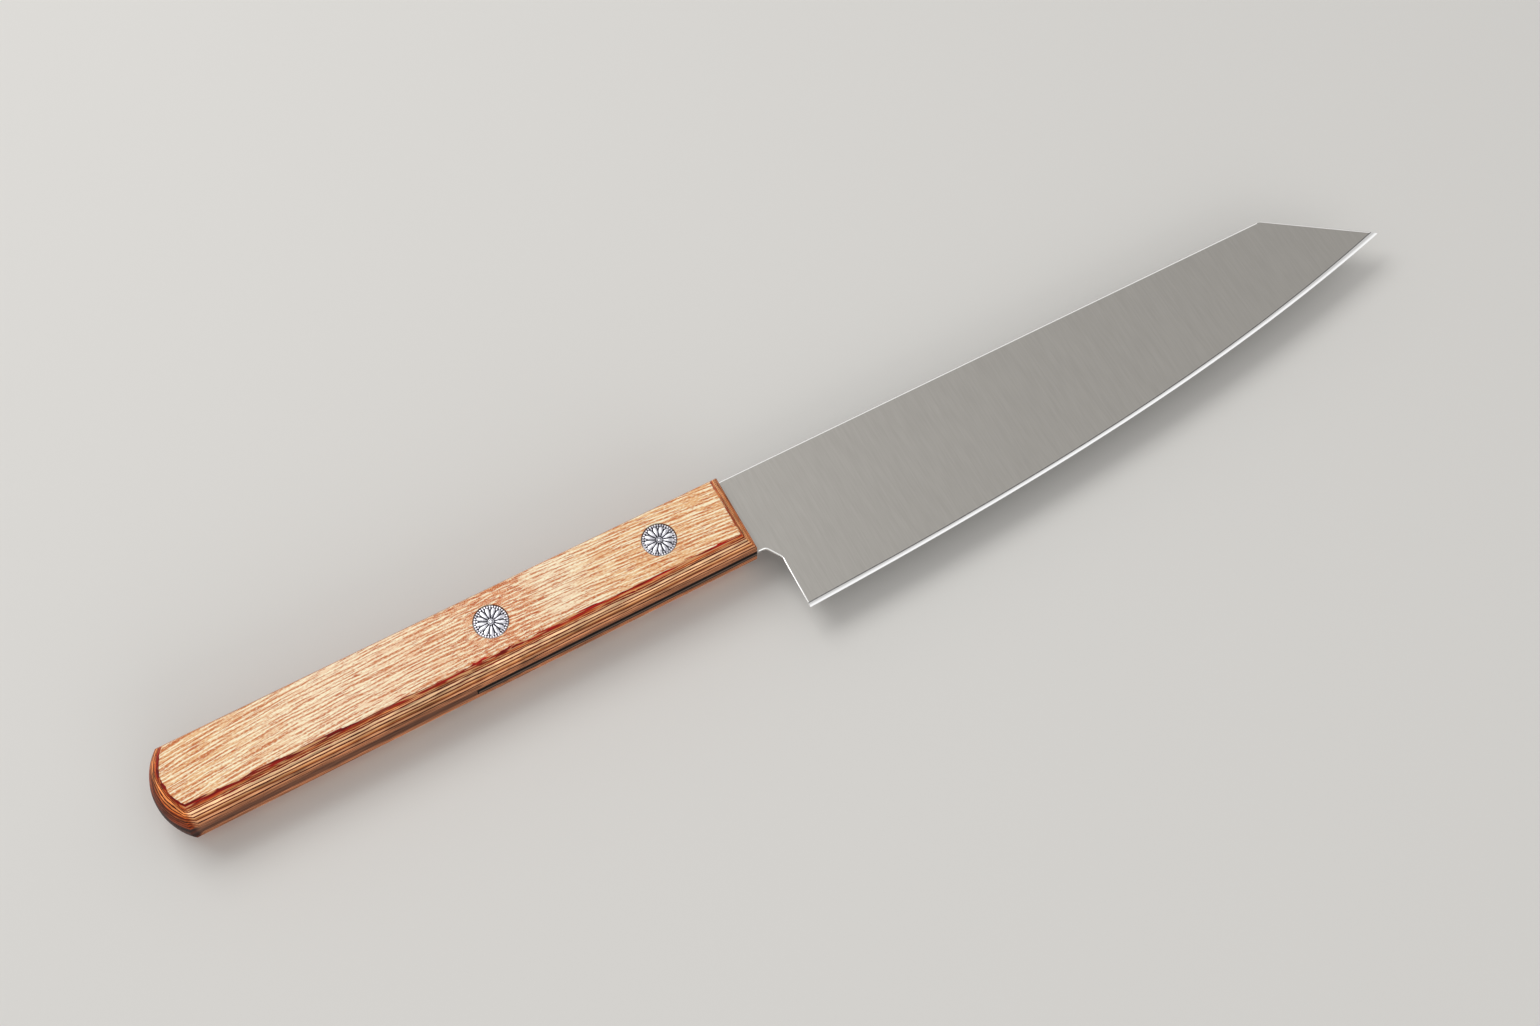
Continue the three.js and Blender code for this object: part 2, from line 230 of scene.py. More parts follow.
# Satin stainless steel: ground along a belt across the blade, which leaves fine lines from spine to edge.
# It gives the eye an even warm grey that hardly mirrors.
satin, tree, shader = new_material("satin_stainless_steel")
place = add_node(tree, "ShaderNodeTexCoord").outputs["Object"]
GRIND_LINE = 0.25  # mm; the real lines are a tenth of that, too fine to show
GRIND_LENGTH = 6.0  # mm
stretched = add_node(tree, "ShaderNodeMapping", inputs={
    "Vector": place,
    "Scale": (1 / (GRIND_LINE * MM), 1 / (GRIND_LENGTH * MM), 1 / (GRIND_LENGTH * MM)),
})
lines = add_node(tree, "ShaderNodeTexNoise", inputs={
    "Vector": stretched.outputs["Vector"], "Scale": 1.0, "Detail": 2.0,
})
tone = add_node(tree, "ShaderNodeValToRGB", inputs={"Fac": lines.outputs["Fac"]})
set_ramp(tone, [(0.3, "#918e89"), (0.7, "#97948f")])
tree.links.new(tone.outputs["Color"], shader.inputs["Base Color"])
gloss = add_node(tree, "ShaderNodeMapRange", inputs={
    "Value": lines.outputs["Fac"], "To Min": 0.38, "To Max": 0.5,
})
tree.links.new(gloss.outputs["Result"], shader.inputs["Roughness"])
shader.inputs["Metallic"].default_value = 1.0

# Polished stainless steel: the same metal off a fine stone or a buffing wheel, nearly a mirror.
polished, tree, shader = new_material("polished_stainless_steel")
place = add_node(tree, "ShaderNodeTexCoord").outputs["Object"]
POLISH_MARK = 0.6  # mm
marks = add_node(tree, "ShaderNodeTexNoise", inputs={
    "Vector": place, "Scale": 1 / (POLISH_MARK * MM), "Detail": 2.0,
})
gloss = add_node(tree, "ShaderNodeMapRange", inputs={
    "Value": marks.outputs["Fac"], "To Min": 0.14, "To Max": 0.24,
})
tree.links.new(gloss.outputs["Result"], shader.inputs["Roughness"])
shader.inputs["Base Color"].default_value = linear("#e9e8e6")
shader.inputs["Metallic"].default_value = 1.0

# Honed stainless steel: the edge bevel, off ever finer stones. It is brightest at the very edge, where
# the last stone polished it, and a little duller towards its shoulder.
honed, tree, shader = new_material("honed_stainless_steel")
place = add_node(tree, "ShaderNodeTexCoord").outputs["Object"]
height = add_node(tree, "ShaderNodeSeparateXYZ", inputs={"Vector": place}).outputs["Z"]
from_middle = add_node(tree, "ShaderNodeMath", {"operation": "SUBTRACT"}, {0: height, 1: BLADE_MIDDLE})
half_thickness = add_node(tree, "ShaderNodeMath", {"operation": "ABSOLUTE"}, {
    0: from_middle.outputs["Value"],
})
up_the_bevel = add_node(tree, "ShaderNodeMapRange", inputs={
    "Value": half_thickness.outputs["Value"], "From Min": EDGE_HALF * MM, "From Max": SHOULDER_HALF * MM,
})
tone = add_node(tree, "ShaderNodeValToRGB", inputs={"Fac": up_the_bevel.outputs["Result"]})
set_ramp(tone, [(0.25, "#fdfdfd"), (0.8, "#c6c5c4")])
tree.links.new(tone.outputs["Color"], shader.inputs["Base Color"])
gloss = add_node(tree, "ShaderNodeMapRange", inputs={
    "Value": up_the_bevel.outputs["Result"], "To Min": 0.12, "To Max": 0.3,
})
tree.links.new(gloss.outputs["Result"], shader.inputs["Roughness"])
shader.inputs["Metallic"].default_value = 1.0

# Steel with a painted reflection at the bevel's shoulder: a narrow dark line where the bevel meets the side,
# painted as the dark reflection along that turn, mottled like coarse scratches. It reads as a thin dark
# border to the bright edge.
shoulder_reflection, tree, shader = new_material("shoulder_painted_reflection_steel")
place = add_node(tree, "ShaderNodeTexCoord").outputs["Object"]
SCRATCH = 0.35  # mm; the real ones are a third of that
scratches = add_node(tree, "ShaderNodeTexNoise", inputs={
    "Vector": place, "Scale": 1 / (SCRATCH * MM), "Detail": 1.0,
})
tone = add_node(tree, "ShaderNodeValToRGB", inputs={"Fac": scratches.outputs["Fac"]})
set_ramp(tone, [(0.3, "#4d4c4b"), (0.7, "#6d6c6b")])
tree.links.new(tone.outputs["Color"], shader.inputs["Base Color"])
shader.inputs["Metallic"].default_value = 1.0
shader.inputs["Roughness"].default_value = 0.45

# Tang steel in painted shade: the tang's bare edges, sanded together with the handle. Their dark brown-grey
# is a painted dark reflection, and above the blade's middle plane they are painted black, as the shade along
# the top of the slot.
tang_in_shade, tree, shader = new_material("tang_steel_painted_shade")
place = add_node(tree, "ShaderNodeTexCoord").outputs["Object"]
STAIN = 1.5  # mm
SHADE_TOP, SHADE_END = 0.1 * MM, -0.4 * MM  # from the blade's middle plane
LIT_SHARE = 0.7  # how light the steel is below the painted shade
STAIN_SHARE = 0.2  # and how much the stains change that
stains = add_node(tree, "ShaderNodeTexNoise", inputs={
    "Vector": place, "Scale": 1 / (STAIN * MM), "Detail": 3.0,
})
height = add_node(tree, "ShaderNodeSeparateXYZ", inputs={"Vector": place}).outputs["Z"]
# Above the middle plane the steel fades to black: painted shade along the top of the slot.
top_shade = add_node(tree, "ShaderNodeMapRange", inputs={
    "Value": height, "From Min": BLADE_MIDDLE + SHADE_TOP, "From Max": BLADE_MIDDLE + SHADE_END,
    "To Max": LIT_SHARE,
})
lightness = add_node(tree, "ShaderNodeMath", {"operation": "MULTIPLY_ADD"}, {
    0: stains.outputs["Fac"], 1: STAIN_SHARE, 2: top_shade.outputs["Result"],
})
tone = add_node(tree, "ShaderNodeValToRGB", inputs={"Fac": lightness.outputs["Value"]})
set_ramp(tone, [(0.15, "#060505"), (1.0, "#7e6a60")])
tree.links.new(tone.outputs["Color"], shader.inputs["Base Color"])
shader.inputs["Metallic"].default_value = 0.2
shader.inputs["Specular IOR Level"].default_value = 0.05
shader.inputs["Roughness"].default_value = 0.6

finish_piece("ground_blade", blade, [satin, polished, honed, shoulder_reflection, tang_in_shade], "blade")


# Handle. One block of veneers, dyed, soaked in resin and pressed flat, with the plies parallel to the
# blade. It is sawn, chamfered along and across its edges, crowned at the butt and sanded smooth. The
# plies show as long stripes on the sides and as rings round the butt.
HANDLE_MIDDLE = (HANDLE_LOW.z + HANDLE_HIGH.z) / 2
RIVET_NODES = ("front_rivet_socket", "rear_rivet_socket")
RIVET_CENTRES = [(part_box(node)[0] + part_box(node)[1]) / 2 for node in RIVET_NODES]
RIVET_LINE = RIVET_CENTRES[0].y
SLOT_LOW, SLOT_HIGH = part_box("tang_adhesive")
SANDED_EDGE = 0.3 * MM
CREASE_ANGLE = math.radians(14)
RIVET_HOLE = 3.8 * MM  # radius that holds all edges of a rivet's hole


def is_outer(edge):
    """Whether an edge is one of the handle's own creases, away from the slot and the rivet holes."""
    middle = (edge.verts[0].co + edge.verts[1].co) / 2
    in_slot = SLOT_LOW.z - MERGE_DISTANCE < middle.z < SLOT_HIGH.z + MERGE_DISTANCE
    if in_slot and middle.x > SLOT_LOW.x - MERGE_DISTANCE:
        return False
    return all((middle - centre).to_2d().length > RIVET_HOLE for centre in RIVET_CENTRES)


handle = copy_of_solid("handle")
handle.normal_update()
creases = [
    edge for edge in handle.edges
    if len(edge.link_faces) == 2 and edge.calc_face_angle() > CREASE_ANGLE and is_outer(edge)
]
bmesh.ops.bevel(
    handle, geom=creases, offset=SANDED_EDGE, offset_type="OFFSET", affect="EDGES",
    segments=ROUND_STEPS, profile=0.5, material=-1, clamp_overlap=True,
)

# Resin-filled laminated wood, sanded and rubbed with wax. It gives the eye a pale pink face veneer with
# fine red-brown pores on the flats, and dark red, tan and cream plies stacked down the sides.
wood, tree, shader = new_material("resin_laminated_wood")
place = add_node(tree, "ShaderNodeTexCoord").outputs["Object"]
in_mm = add_node(tree, "ShaderNodeMapping", inputs={
    "Vector": place,
    "Scale": (1 / MM, 1 / MM, 1 / MM),
    "Location": (-HANDLE_FRONT / MM, -RIVET_LINE / MM, -HANDLE_MIDDLE / MM),
})
axes = add_node(tree, "ShaderNodeSeparateXYZ", inputs={"Vector": in_mm.outputs["Vector"]})

# The veneer's grain runs along the handle in a shallow arch, straight about half way.
GRAIN_STRAIGHT_AT = -62.0  # mm from the handle's front, negative behind it
GRAIN_BEND = 0.0008  # per mm
from_straight = add_node(tree, "ShaderNodeMath", {"operation": "SUBTRACT"}, {
    0: axes.outputs["X"], 1: GRAIN_STRAIGHT_AT,
})
arch = add_node(tree, "ShaderNodeMath", {"operation": "MULTIPLY"}, {
    0: from_straight.outputs["Value"], 1: from_straight.outputs["Value"],
})
across = add_node(tree, "ShaderNodeMath", {"operation": "MULTIPLY_ADD"}, {
    0: arch.outputs["Value"], 1: GRAIN_BEND, 2: axes.outputs["Y"],
})
# Round the rear rivet the fibres dip into the board, which cuts their streaks short.
DIP_FROM, DIP_TO, DIP_SHORTENS = -65.0, -43.0, 26.0  # mm
shortened = add_node(tree, "ShaderNodeMapRange", {"interpolation_type": "SMOOTHSTEP"}, {
    "Value": axes.outputs["X"], "From Min": DIP_FROM, "From Max": DIP_TO, "To Max": DIP_SHORTENS,
})
along = add_node(tree, "ShaderNodeMath", {"operation": "ADD"}, {
    0: axes.outputs["X"], 1: shortened.outputs["Result"],
})
along_grain = add_node(tree, "ShaderNodeCombineXYZ", inputs={
    "X": along.outputs["Value"], "Y": across.outputs["Value"], "Z": axes.outputs["Z"],
})


def grain_noise(length, width, depth, detail):
    """Noise drawn out along the grain, from the length, width and depth of its streaks in mm."""
    stretched = add_node(tree, "ShaderNodeMapping", inputs={
        "Vector": along_grain.outputs["Vector"],
        "Scale": (1 / length, 1 / width, 1 / depth),
    })
    return add_node(tree, "ShaderNodeTexNoise", inputs={
        "Vector": stretched.outputs["Vector"], "Scale": 1.0, "Detail": detail,
    }).outputs["Fac"]


# The year rings, cut along, stand as nearly parallel lines. They come and go along the grain, between the
# pores. Real lines are about 0.1 mm wide, drawn here as coarse as they need to show.
RING_SPACING = 0.76  # mm
RING_WANDER, RING_DEPTH = 20.0, 4.0  # mm along the grain and into the board
FADED_BELOW, WHOLE_ABOVE = 0.22, 0.5  # of the noise that breaks the lines
WAVE_PERIOD = math.tau / 20  # that of Blender's bands at scale 1
ring_stretch = add_node(tree, "ShaderNodeMapping", inputs={
    "Vector": along_grain.outputs["Vector"],
    "Scale": (1 / RING_WANDER, WAVE_PERIOD / RING_SPACING, 1 / RING_DEPTH),
})
rings = add_node(tree, "ShaderNodeTexWave", {"bands_direction": "Y"}, {
    "Vector": ring_stretch.outputs["Vector"],
    "Scale": 1.0, "Distortion": 6.0, "Detail": 2.0, "Detail Scale": 1.6,
})


def broken(lines, noise):
    """Lines that fade out wherever the noise is low."""
    share = add_node(tree, "ShaderNodeMapRange", inputs={
        "Value": noise, "From Min": FADED_BELOW, "From Max": WHOLE_ABOVE,
    })
    return add_node(tree, "ShaderNodeMath", {"operation": "MULTIPLY"}, {
        0: lines, 1: share.outputs["Result"],
    }).outputs["Value"]


gaps = add_node(tree, "ShaderNodeMath", {"operation": "SUBTRACT"}, {0: 1.0, 1: rings.outputs["Fac"]})
dark_lines = broken(gaps.outputs["Value"], grain_noise(length=4.6, width=0.55, depth=0.6, detail=0.0))
pale_lines = broken(rings.outputs["Fac"], grain_noise(length=5.2, width=0.65, depth=0.7, detail=0.0))
pores = grain_noise(length=3.2, width=0.2, depth=0.24, detail=0.0)

# The flats. Round the rear rivet the veneer's grain dips, which shows its pores shorter and its tone more
# orange, with a pale cloud before it. Each stop is mm from the handle's front and the tone there.
FLAT_TONES = [
    (-125, "#e8b47e"), (-108, "#ebbb88"), (-90, "#f8dcba"), (-74, "#f6d4b0"), (-62, "#f0c49a"),
    (-54, "#e3a076"), (-47, "#e19d72"), (-43, "#f4d2ab"), (-39, "#fae3c3"), (-35, "#f4d4ab"),
    (-27, "#ecbb88"), (0, "#ebb884"),
]
TONES_START, TONES_END = FLAT_TONES[0][0], FLAT_TONES[-1][0]
DIP_CENTRE, DIP_CORE, DIP_REACH = -53.0, 4.0, 13.0  # mm, where the dip opens the pores
PORE_OPENING = 0.08  # of the pores' noise
MIX_FIRST, MIX_SECOND, MIX_RESULT = 6, 7, 2  # the colour sockets of a Mix node


def toned(colour, mask, start, end, strength, tone):
    """Takes a colour towards a tone where a mask passes from the start value to the end one."""
    share = add_node(tree, "ShaderNodeMapRange", {"interpolation_type": "SMOOTHSTEP"}, {
        "Value": mask, "From Min": start, "From Max": end, "To Max": strength,
    })
    mixed = add_node(tree, "ShaderNodeMix", {"data_type": "RGBA"}, {"Factor": share.outputs["Result"]})
    tree.links.new(colour, mixed.inputs[MIX_FIRST])
    mixed.inputs[MIX_SECOND].default_value = linear(tone)
    return mixed.outputs[MIX_RESULT]


along_share = add_node(tree, "ShaderNodeMapRange", inputs={
    "Value": axes.outputs["X"], "From Min": TONES_START, "From Max": TONES_END,
})
clouds = add_node(tree, "ShaderNodeValToRGB", inputs={"Fac": along_share.outputs["Result"]})
set_ramp(clouds, [
    ((x - TONES_START) / (TONES_END - TONES_START), tone) for x, tone in FLAT_TONES
], "B_SPLINE")
flat_colour = clouds.outputs["Color"]
flat_colour = toned(flat_colour, pale_lines, start=0.35, end=0.9, strength=0.95, tone="#fff3d0")
flat_colour = toned(flat_colour, dark_lines, start=0.45, end=1.0, strength=0.85, tone="#c2642c")
from_dip = add_node(tree, "ShaderNodeMath", {"operation": "SUBTRACT"}, {
    0: axes.outputs["X"], 1: DIP_CENTRE,
})
from_dip = add_node(tree, "ShaderNodeMath", {"operation": "ABSOLUTE"}, {0: from_dip.outputs["Value"]})
dipping = add_node(tree, "ShaderNodeMapRange", inputs={
    "Value": from_dip.outputs["Value"], "From Min": DIP_CORE, "From Max": DIP_REACH,
    "To Min": -PORE_OPENING, "To Max": 0.0,
})
open_pores = add_node(tree, "ShaderNodeMath", {"operation": "ADD"}, {
    0: pores, 1: dipping.outputs["Result"],
}).outputs["Value"]
flat_colour = toned(flat_colour, open_pores, start=0.37, end=0.26, strength=0.8, tone="#b5502a")
# Single fibres, cut open by the sanding, speckle it. They are drawn a few times as wide as real ones.
fibres = grain_noise(length=0.6, width=0.18, depth=0.22, detail=0.0)
flat_colour = toned(flat_colour, fibres, start=0.5, end=0.2, strength=0.5, tone="#c87438")
flat_colour = toned(flat_colour, fibres, start=0.5, end=0.8, strength=0.55, tone="#fff5d4")

# The plies: how far each one reaches from the middle plane, in mm, and its dye. Thin dark glue lines lie
# between them. The plies nearest the middle, which show on the upright walls, are darker than their dye:
# painted shade, for walls that face away from the light. The stack is alike above and below the middle, as
# a pressed board has to be to stay flat.
PLIES = [
    (0.5, "#6a432f"), (0.65, "#47291b"), (1.1, "#7c4c35"), (1.25, "#562e1e"), (1.7, "#b07450"),
    (1.88, "#6e321c"), (2.3, "#ba7850"), (2.48, "#78361e"), (2.82, "#c4845c"), (3.06, "#400a05"),
    (3.44, "#d3956a"), (3.66, "#702a12"), (3.92, "#b06a36"), (4.24, "#e0a470"), (4.52, "#6a200c"),
    (4.9, "#f6c290"), (5.18, "#6a200c"), (5.68, "#fece9e"), (5.94, "#7c1508"), (6.1, "#e8b27a"),
    (6.32, "#8a170a"), (6.44, "#e09658"), (6.6, "#c05c2a"), (6.8, "#aa401c"), (8.0, "#a31c11"),
]
STACK = PLIES[-1][0]
TILT_ACROSS = 0.01  # the board was sawn very slightly out of parallel
in_board = add_node(tree, "ShaderNodeMath", {"operation": "MULTIPLY_ADD"}, {
    0: axes.outputs["Y"], 1: TILT_ACROSS, 2: axes.outputs["Z"],
})
in_board = add_node(tree, "ShaderNodeMath", {"operation": "ABSOLUTE"}, {
    0: in_board.outputs["Value"],
}).outputs["Value"]
# The butt was sanded a little askew, so at its corner on the edge side it cuts deeper into the plies.
SKEW_SLOPE = 0.273  # mm along the handle for each mm across it
SKEW_START, SKEW_REACH, SKEW_DEPTH = -121.6, 1.4, 1.15  # mm
askew = add_node(tree, "ShaderNodeMath", {"operation": "MULTIPLY_ADD"}, {
    0: axes.outputs["Y"], 1: SKEW_SLOPE, 2: axes.outputs["X"],
})
cut_in = add_node(tree, "ShaderNodeMapRange", inputs={
    "Value": askew.outputs["Value"], "From Min": SKEW_START, "From Max": SKEW_START - SKEW_REACH,
    "To Max": SKEW_DEPTH,
})
in_board = add_node(tree, "ShaderNodeMath", {"operation": "SUBTRACT"}, {
    0: in_board, 1: cut_in.outputs["Result"],
}).outputs["Value"]
# The veneers press into each other, most of all near the face: slow waves along the board, ripples and
# breaks. Each is the mm that it runs along, across and into the board, and its swing.
PLY_WAVES = [((30, 14, 3.0), 0.6), ((8, 3, 1.0), 0.4), ((2.0, 0.8, 0.3), 0.2)]
CALM_TO, RESTLESS_FROM = 4.5, 7.0  # mm from the middle plane
unrest = add_node(tree, "ShaderNodeMapRange", inputs={
    "Value": in_board, "From Min": CALM_TO, "From Max": RESTLESS_FROM, "To Min": 0.6, "To Max": 1.7,
})
ply_place = in_board
for stretch, swing in PLY_WAVES:
    stretched = add_node(tree, "ShaderNodeMapping", inputs={
        "Vector": in_mm.outputs["Vector"], "Scale": [1 / length for length in stretch],
    })
    wave = add_node(tree, "ShaderNodeTexNoise", inputs={
        "Vector": stretched.outputs["Vector"], "Scale": 1.0, "Detail": 1.0,
    })
    push = add_node(tree, "ShaderNodeMapRange", {"clamp": False}, {
        "Value": wave.outputs["Fac"], "To Min": -swing / 2, "To Max": swing / 2,
    })
    ply_place = add_node(tree, "ShaderNodeMath", {"operation": "MULTIPLY_ADD"}, {
        0: push.outputs["Result"], 1: unrest.outputs["Result"], 2: ply_place,
    }).outputs["Value"]
ply_share = add_node(tree, "ShaderNodeMath", {"operation": "DIVIDE"}, {0: ply_place, 1: STACK})
ply_colour = add_node(tree, "ShaderNodeValToRGB", inputs={"Fac": ply_share.outputs["Value"]})
starts = [0.0] + [reach for reach, _ in PLIES[:-1]]
set_ramp(ply_colour, [
    (start / STACK, colour) for start, (_, colour) in zip(starts, PLIES)
], "CONSTANT")
streaks = grain_noise(length=5.0, width=2.0, depth=0.34, detail=1.0)
slow_streaks = grain_noise(length=28.0, width=8.0, depth=1.4, detail=1.0)
ply_streaks = add_node(tree, "ShaderNodeMath", {"operation": "ADD"}, {0: streaks, 1: slow_streaks})
ply_light = add_node(tree, "ShaderNodeMapRange", inputs={
    "Value": ply_streaks.outputs["Value"], "From Min": 0.7, "From Max": 1.3,
    "To Min": 0.4, "To Max": 1.55,
})
ply_toned = add_node(tree, "ShaderNodeVectorMath", {"operation": "SCALE"}, {
    0: ply_colour.outputs["Color"], "Scale": ply_light.outputs["Result"],
})
# Dark red resin has bled into the outermost plies in short dashes, and left them pale in others.
BLEED_FROM, BLEED_FULL = 5.7, 6.6  # mm from the middle plane
DASH_WIDTH = 2.0  # mm
near_face = add_node(tree, "ShaderNodeMapRange", inputs={
    "Value": in_board, "From Min": BLEED_FROM, "From Max": BLEED_FULL, "To Min": -0.25, "To Max": 0.0,
})
side_colour = ply_toned.outputs["Vector"]
for length, depth, strength, tone in [(5.0, 0.2, 0.85, "#760f08"), (6.5, 0.26, 0.8, "#eab27a")]:
    dashes = add_node(tree, "ShaderNodeMath", {"operation": "ADD"}, {
        0: grain_noise(length, DASH_WIDTH, depth, detail=1.0), 1: near_face.outputs["Result"],
    }).outputs["Value"]
    side_colour = toned(side_colour, dashes, start=0.54, end=0.62, strength=strength, tone=tone)

# Both ends cut the plies across their fibres. The butt's open ends drank in more resin, so they are dark;
# towards the middle plane they are darker still, which is painted shade on the crown's middle that turns away
# from the light.
# Those in the steep front chamfers are only redder than the sides.
BUTT_FROM, BUTT_TO = -119.5, -120.3  # mm from the handle's front
CHAMFER_START = 2.7  # mm from the middle plane, in the front plane
CHAMFER_HEIGHT, FRONT_CHAMFER = 4.8, 2.6  # mm up the front and along the handle
BLEND_FROM, BLEND_TO = 0.3, 0.15  # mm short of the chamfer
CORE_END, FACE_START = 3.5, 6.5  # mm from the middle plane
BUTT_SHADED_CORE_TINT, BUTT_FACE_TINT = (0.66, 0.41, 0.24, 1), (0.86, 0.58, 0.41, 1)  # times the plies' dyes
BUTT_CONTRAST = 1.4
FRONT_TINT = (1.25, 0.92, 0.66)
on_butt = add_node(tree, "ShaderNodeMapRange", inputs={
    "Value": axes.outputs["X"], "From Min": BUTT_FROM, "From Max": BUTT_TO,
})
up_front = add_node(tree, "ShaderNodeMath", {"operation": "MULTIPLY_ADD"}, {
    0: axes.outputs["X"], 1: CHAMFER_HEIGHT / FRONT_CHAMFER, 2: in_board,
})
on_front = add_node(tree, "ShaderNodeMapRange", inputs={
    "Value": up_front.outputs["Value"],
    "From Min": CHAMFER_START - BLEND_FROM, "From Max": CHAMFER_START - BLEND_TO,
})
out_of_core = add_node(tree, "ShaderNodeMapRange", inputs={
    "Value": in_board, "From Min": CORE_END, "From Max": FACE_START,
})
# The butt's tint is darkest at the core: painted shade on the crown.
butt_tint_and_shade = add_node(tree, "ShaderNodeMix", {"data_type": "RGBA"}, {
    "Factor": out_of_core.outputs["Result"],
})
butt_tint_and_shade.inputs[MIX_FIRST].default_value = BUTT_SHADED_CORE_TINT
butt_tint_and_shade.inputs[MIX_SECOND].default_value = BUTT_FACE_TINT
for share, tint, contrast in [
    (on_butt, butt_tint_and_shade.outputs[MIX_RESULT], BUTT_CONTRAST),
    (on_front, FRONT_TINT, 1.0),
]:
    deepened = add_node(tree, "ShaderNodeGamma", inputs={"Color": side_colour, "Gamma": contrast})
    tinted = add_node(tree, "ShaderNodeVectorMath", {"operation": "MULTIPLY"}, {
        0: deepened.outputs["Color"], 1: tint,
    })
    end_grain = add_node(tree, "ShaderNodeMix", {"data_type": "RGBA"}, {
        "Factor": share.outputs["Result"],
    })
    tree.links.new(side_colour, end_grain.inputs[MIX_FIRST])
    tree.links.new(tinted.outputs["Vector"], end_grain.inputs[MIX_SECOND])
    side_colour = end_grain.outputs[MIX_RESULT]

# The face veneer covers the flats. It thins out unevenly towards the creases, and where the one on the
# edge side was sanded, the red ply below shows through.
FACE_VENEER = 7.42  # mm from the middle to its underside, where it is thinnest
VENEER_BLUR = 0.01  # mm
THICKER_BY = 0.5  # mm
SANDED_BY, SANDED_FULL, SANDED_FROM = 0.08, -6.5, -6.1  # mm into the veneer, and across from the rivets
veneer_edge = grain_noise(length=7.0, width=2.0, depth=2.0, detail=2.0)
thicker = add_node(tree, "ShaderNodeMapRange", inputs={
    "Value": veneer_edge, "From Min": 0.45, "From Max": 0.75, "To Max": THICKER_BY,
})
sanded = add_node(tree, "ShaderNodeMapRange", inputs={
    "Value": axes.outputs["Y"], "From Min": SANDED_FULL, "From Max": SANDED_FROM,
    "To Min": -SANDED_BY, "To Max": 0.0,
})
veneer_place = add_node(tree, "ShaderNodeMath", {"operation": "ADD"}, {
    0: thicker.outputs["Result"], 1: sanded.outputs["Result"],
})
veneer_place = add_node(tree, "ShaderNodeMath", {"operation": "ADD"}, {
    0: veneer_place.outputs["Value"], 1: in_board,
})
on_flat = add_node(tree, "ShaderNodeMapRange", inputs={
    "Value": veneer_place.outputs["Value"],
    "From Min": FACE_VENEER - VENEER_BLUR, "From Max": FACE_VENEER + VENEER_BLUR,
})
colour = add_node(tree, "ShaderNodeMix", {"data_type": "RGBA"}, {
    "Factor": on_flat.outputs["Result"],
})
tree.links.new(side_colour, colour.inputs[MIX_FIRST])
tree.links.new(flat_colour, colour.inputs[MIX_SECOND])
tree.links.new(colour.outputs[MIX_RESULT], shader.inputs["Base Color"])
gloss = add_node(tree, "ShaderNodeMapRange", inputs={
    "Value": pores, "From Min": 0.3, "From Max": 0.7, "To Min": 0.55, "To Max": 0.42,
})
tree.links.new(gloss.outputs["Result"], shader.inputs["Roughness"])
PORE_DEPTH = 0.08 * MM
pitting = add_node(tree, "ShaderNodeBump", inputs={
    "Height": pores, "Strength": 0.2, "Distance": PORE_DEPTH,
})
tree.links.new(pitting.outputs["Normal"], shader.inputs["Normal"])
shader.inputs["Specular IOR Level"].default_value = 0.12

finish_piece("shaped_handle", handle, [wood], "handle")


# Resin. It beds the tang in the slot and was cut flush when the handle was sanded, so only its thin edges
# show, as dark lines beside the tang. Its solid is right as it is.

# Dark cured resin: filled, hard and sanded matt. It gives the eye a nearly black line that hardly shines.
resin, tree, shader = new_material("dark_cured_resin")
place = add_node(tree, "ShaderNodeTexCoord").outputs["Object"]
FILLER_GRAIN = 0.5  # mm
filler = add_node(tree, "ShaderNodeTexNoise", inputs={
    "Vector": place, "Scale": 1 / (FILLER_GRAIN * MM), "Detail": 3.0,
})
tone = add_node(tree, "ShaderNodeValToRGB", inputs={"Fac": filler.outputs["Fac"]})
set_ramp(tone, [(0.0, "#080807"), (1.0, "#1a1816")])
tree.links.new(tone.outputs["Color"], shader.inputs["Base Color"])
shader.inputs["Specular IOR Level"].default_value = 0.05
shader.inputs["Roughness"].default_value = 0.6
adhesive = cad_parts["tang_adhesive"]
adhesive.data.materials.clear()
adhesive.data.materials.append(resin)


# Rivets. Two hollow rivets of nickel silver, each a socket pressed over a stud, seated just below the
# flats. Their heads are struck with a rosette of petals round a button, inside a toothed rim, and the
# hollows are darkened.
PETALS = 13
TEETH = 3  # of the rim, to each petal
HEAD_RADIUS = 3.45 * MM
HEAD_THICKNESS = 1.8 * MM
GROUND_DEPTH = 0.15 * MM
GROUND_TOLERANCE = 0.02 * MM
COLLAR_FOOT = (0.44 * MM, 0.61 * MM)  # inner and outer radius of the ring round the button
COLLAR_TOP = (0.49 * MM, 0.56 * MM)
COLLAR_DEPTH = 0.06 * MM  # below the head's face
RIM_FOOT, RIM_TOP = 3.38 * MM, 3.4 * MM  # radii
RIM_DEPTH, CORNER_DEPTH = 0.08 * MM, 0.1 * MM  # below the head's face
# Each raised form of the rosette: its inner and outer radius, its width and how much it tapers inwards.
PETAL = (0.62 * MM, 3.02 * MM, 1.2 * MM, 0.42)
BEAD = (2.5 * MM, 2.98 * MM, 0.4 * MM, 0.2)
TOOTH = (2.94 * MM, 3.42 * MM, 0.54 * MM, 0.2)
BUTTON = (-0.36 * MM, 0.36 * MM, 0.72 * MM, 0.0)
PILLOW = [(0.6, 0.86), (0.92, 0.6)]  # share of a form's height, and of the width left there
PILLOW_DRAW = 0.9  # how much its ends draw in, to each part that its sides do
FORM_ROUND = 14
FORM_SINK = 0.01 * MM  # how far a form's foot lies in the ground, and its full height short of the face
RIVET_ROUND = 52
TUBE_RADIUS = 2.1 * MM
TUBE_BORE = 1.45 * MM
SHANK_RADIUS = 1.3 * MM
FORMED, HOLLOW = 0, 1


